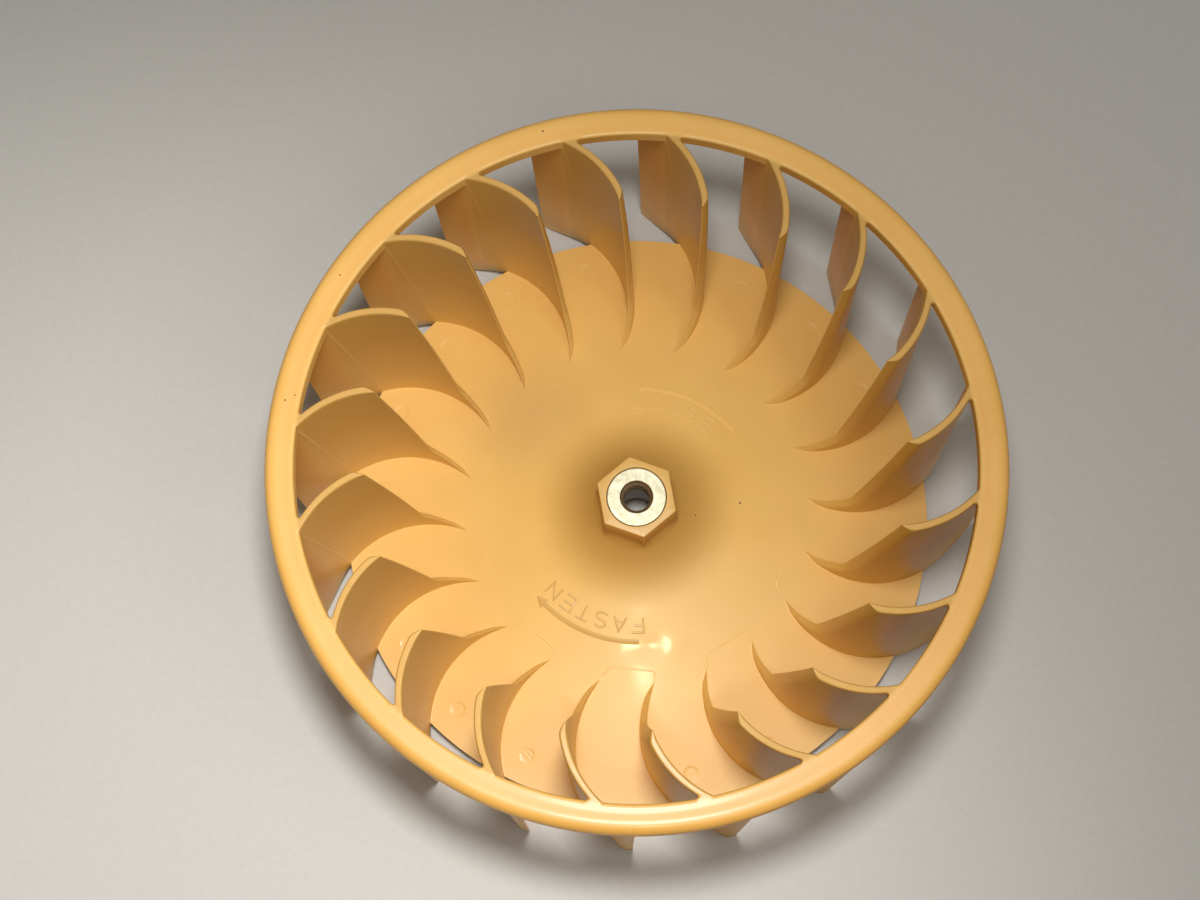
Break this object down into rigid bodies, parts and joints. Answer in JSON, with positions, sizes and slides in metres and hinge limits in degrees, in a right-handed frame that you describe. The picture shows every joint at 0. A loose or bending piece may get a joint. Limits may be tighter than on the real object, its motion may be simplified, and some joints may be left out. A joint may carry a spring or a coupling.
{
  "type": "centrifugal blower wheel",
  "caption": "One-piece moulded blower wheel with curved blades, a back disc, an inlet ring and a six-sided hub that holds a threaded metal insert.",
  "frame": {"origin": "on the wheel's axis, in the plane of the blades' rear corners, on which the wheel lies on its back", "axes": "+Z along the wheel's axis, out through the inlet ring; +X to the right and +Y up in the picture"},
  "size_m": [0.2094, 0.2094, 0.0908],
  "materials": {
    "moulding": "satin natural moulding, slightly translucent",
    "insert_metal": "bright zinc plated"
  },
  "bodies": {
    "root": {"blower_wheel": "moulding", "threaded_insert": "insert_metal"}
  },
  "joints": []
}
